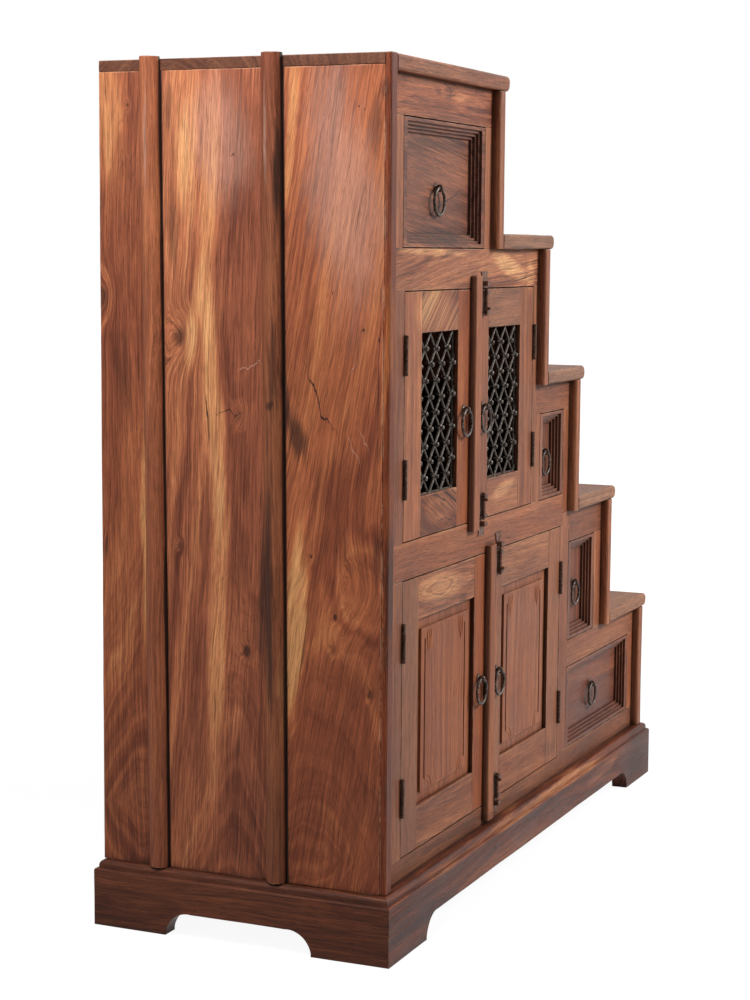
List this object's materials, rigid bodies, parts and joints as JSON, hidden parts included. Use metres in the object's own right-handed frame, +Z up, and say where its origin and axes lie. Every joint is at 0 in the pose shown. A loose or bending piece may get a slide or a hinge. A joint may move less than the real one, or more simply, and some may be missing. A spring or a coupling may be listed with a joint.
{
  "type": "stepped cabinet",
  "caption": "Stepped hardwood cabinet with cupboards behind hinged doors, iron lattice and ring pulls, drawers under descending treads, and a moulded bracket plinth.",
  "frame": {"origin": "bottom centre of the bounding box, on the floor", "axes": "+X towards the low end of the steps, +Y from the front to the back, +Z up"},
  "size_m": [1.406, 0.528, 1.404],
  "materials": {
    "carcass_wood": "satin wax",
    "front_wood": "satin wax",
    "panel_wood": "satin wax",
    "trim_wood": "satin wax",
    "plinth_wood": "satin wax",
    "inner_wood": "plain, unpolished",
    "iron": "blackened, waxed"
  },
  "bodies": {
    "carcass": {"plinth_front": "plinth_wood", "plinth_back": "plinth_wood", "plinth_left": "plinth_wood", "plinth_right": "plinth_wood", "base_blocks_and_bearers": "inner_wood", "bottom_board": "inner_wood", "side_boards": "carcass_wood", "side_battens": "trim_wood", "front_edging": "trim_wood", "top_slab": "carcass_wood", "treads": "carcass_wood", "risers": "carcass_wood", "partitions": "inner_wood", "inner_shelves": "inner_wood", "back_rails": "inner_wood", "back_boards": "inner_wood", "face_rails": "front_wood", "face_stiles": "front_wood", "drawer_runners": "inner_wood", "frame_hinges": "iron", "bolt_keepers": "iron"},
    "upper_left_door": {"upper_left_door_frame": "front_wood", "upper_left_grille": "iron", "upper_left_fittings": "iron"},
    "upper_left_ring_pull": {"upper_left_ring": "iron"},
    "upper_right_door": {"upper_right_door_frame": "front_wood", "upper_right_grille": "iron", "upper_right_fittings": "iron", "upper_cover_strip": "trim_wood"},
    "upper_right_ring_pull": {"upper_right_ring": "iron"},
    "upper_top_slide_bolt": {"upper_top_bolt": "iron"},
    "upper_bottom_slide_bolt": {"upper_bottom_bolt": "iron"},
    "lower_left_door": {"lower_left_door_frame": "front_wood", "lower_left_panel": "panel_wood", "lower_left_fittings": "iron"},
    "lower_left_ring_pull": {"lower_left_ring": "iron"},
    "lower_right_door": {"lower_right_door_frame": "front_wood", "lower_right_panel": "panel_wood", "lower_right_fittings": "iron", "lower_cover_strip": "trim_wood"},
    "lower_right_ring_pull": {"lower_right_ring": "iron"},
    "lower_top_slide_bolt": {"lower_top_bolt": "iron"},
    "lower_bottom_slide_bolt": {"lower_bottom_bolt": "iron"},
    "drawer_5": {"drawer_5_front": "front_wood", "drawer_5_box": "inner_wood", "drawer_5_eye": "iron"},
    "drawer_5_ring_pull": {"drawer_5_ring": "iron"},
    "drawer_3": {"drawer_3_front": "front_wood", "drawer_3_box": "inner_wood", "drawer_3_eye": "iron"},
    "drawer_3_ring_pull": {"drawer_3_ring": "iron"},
    "drawer_2": {"drawer_2_front": "front_wood", "drawer_2_box": "inner_wood", "drawer_2_eye": "iron"},
    "drawer_2_ring_pull": {"drawer_2_ring": "iron"},
    "drawer_1": {"drawer_1_front": "front_wood", "drawer_1_box": "inner_wood", "drawer_1_eye": "iron"},
    "drawer_1_ring_pull": {"drawer_1_ring": "iron"}
  },
  "joints": [
    {"name": "upper_left_door_hinge", "type": "hinge", "parent": "carcass", "child": "upper_left_door", "pos_m": [-0.59175, -0.2382, 0.6515], "axis": [0, 0, -1], "range_deg": [0, 95]},
    {"name": "upper_left_ring_swing", "type": "hinge", "parent": "upper_left_door", "child": "upper_left_ring_pull", "pos_m": [-0.3395, -0.242, 0.8435], "axis": [-1, 0, 0], "range_deg": [0, 90]},
    {"name": "upper_right_door_hinge", "type": "hinge", "parent": "carcass", "child": "upper_right_door", "pos_m": [0.00075, -0.2382, 0.6515], "axis": [0, 0, 1], "range_deg": [0, 95]},
    {"name": "upper_right_ring_swing", "type": "hinge", "parent": "upper_right_door", "child": "upper_right_ring_pull", "pos_m": [-0.2515, -0.242, 0.8435], "axis": [-1, 0, 0], "range_deg": [0, 90]},
    {"name": "upper_top_bolt_slide", "type": "slide", "parent": "upper_right_door", "child": "upper_top_slide_bolt", "axis": [0, 0, 1], "range_m": [0, 0.018]},
    {"name": "upper_bottom_bolt_slide", "type": "slide", "parent": "upper_right_door", "child": "upper_bottom_slide_bolt", "axis": [0, 0, -1], "range_m": [0, 0.018]},
    {"name": "lower_left_door_hinge", "type": "hinge", "parent": "carcass", "child": "lower_left_door", "pos_m": [-0.59175, -0.2382, 0.1435], "axis": [0, 0, -1], "range_deg": [0, 95]},
    {"name": "lower_left_ring_swing", "type": "hinge", "parent": "lower_left_door", "child": "lower_left_ring_pull", "pos_m": [-0.254, -0.242, 0.3735], "axis": [-1, 0, 0], "range_deg": [0, 90]},
    {"name": "lower_right_door_hinge", "type": "hinge", "parent": "carcass", "child": "lower_right_door", "pos_m": [0.17175, -0.2382, 0.1435], "axis": [0, 0, 1], "range_deg": [0, 95]},
    {"name": "lower_right_ring_swing", "type": "hinge", "parent": "lower_right_door", "child": "lower_right_ring_pull", "pos_m": [-0.166, -0.242, 0.3735], "axis": [-1, 0, 0], "range_deg": [0, 90]},
    {"name": "lower_top_bolt_slide", "type": "slide", "parent": "lower_right_door", "child": "lower_top_slide_bolt", "axis": [0, 0, 1], "range_m": [0, 0.018]},
    {"name": "lower_bottom_bolt_slide", "type": "slide", "parent": "lower_right_door", "child": "lower_bottom_slide_bolt", "axis": [0, 0, -1], "range_m": [0, 0.018]},
    {"name": "drawer_5_slide", "type": "slide", "parent": "carcass", "child": "drawer_5", "axis": [0, -1, 0], "range_m": [0, 0.3]},
    {"name": "drawer_5_ring_swing", "type": "hinge", "parent": "drawer_5", "child": "drawer_5_ring_pull", "pos_m": [-0.4275, -0.224, 1.2058], "axis": [-1, 0, 0], "range_deg": [0, 90]},
    {"name": "drawer_3_slide", "type": "slide", "parent": "carcass", "child": "drawer_3", "axis": [0, -1, 0], "range_m": [0, 0.3]},
    {"name": "drawer_3_ring_swing", "type": "hinge", "parent": "drawer_3", "child": "drawer_3_ring_pull", "pos_m": [0.1125, -0.224, 0.73575], "axis": [-1, 0, 0], "range_deg": [0, 90]},
    {"name": "drawer_2_slide", "type": "slide", "parent": "carcass", "child": "drawer_2", "axis": [0, -1, 0], "range_m": [0, 0.3]},
    {"name": "drawer_2_ring_swing", "type": "hinge", "parent": "drawer_2", "child": "drawer_2_ring_pull", "pos_m": [0.301, -0.224, 0.4636], "axis": [-1, 0, 0], "range_deg": [0, 90]},
    {"name": "drawer_1_slide", "type": "slide", "parent": "carcass", "child": "drawer_1", "axis": [0, -1, 0], "range_m": [0, 0.3]},
    {"name": "drawer_1_ring_swing", "type": "hinge", "parent": "drawer_1", "child": "drawer_1_ring_pull", "pos_m": [0.421, -0.224, 0.23955], "axis": [-1, 0, 0], "range_deg": [0, 90]}
  ],
  "couplings": [
    {"joint": "upper_left_door_hinge", "follows": "upper_right_door_hinge", "ratio": 1},
    {"joint": "lower_left_door_hinge", "follows": "lower_right_door_hinge", "ratio": 1}
  ]
}
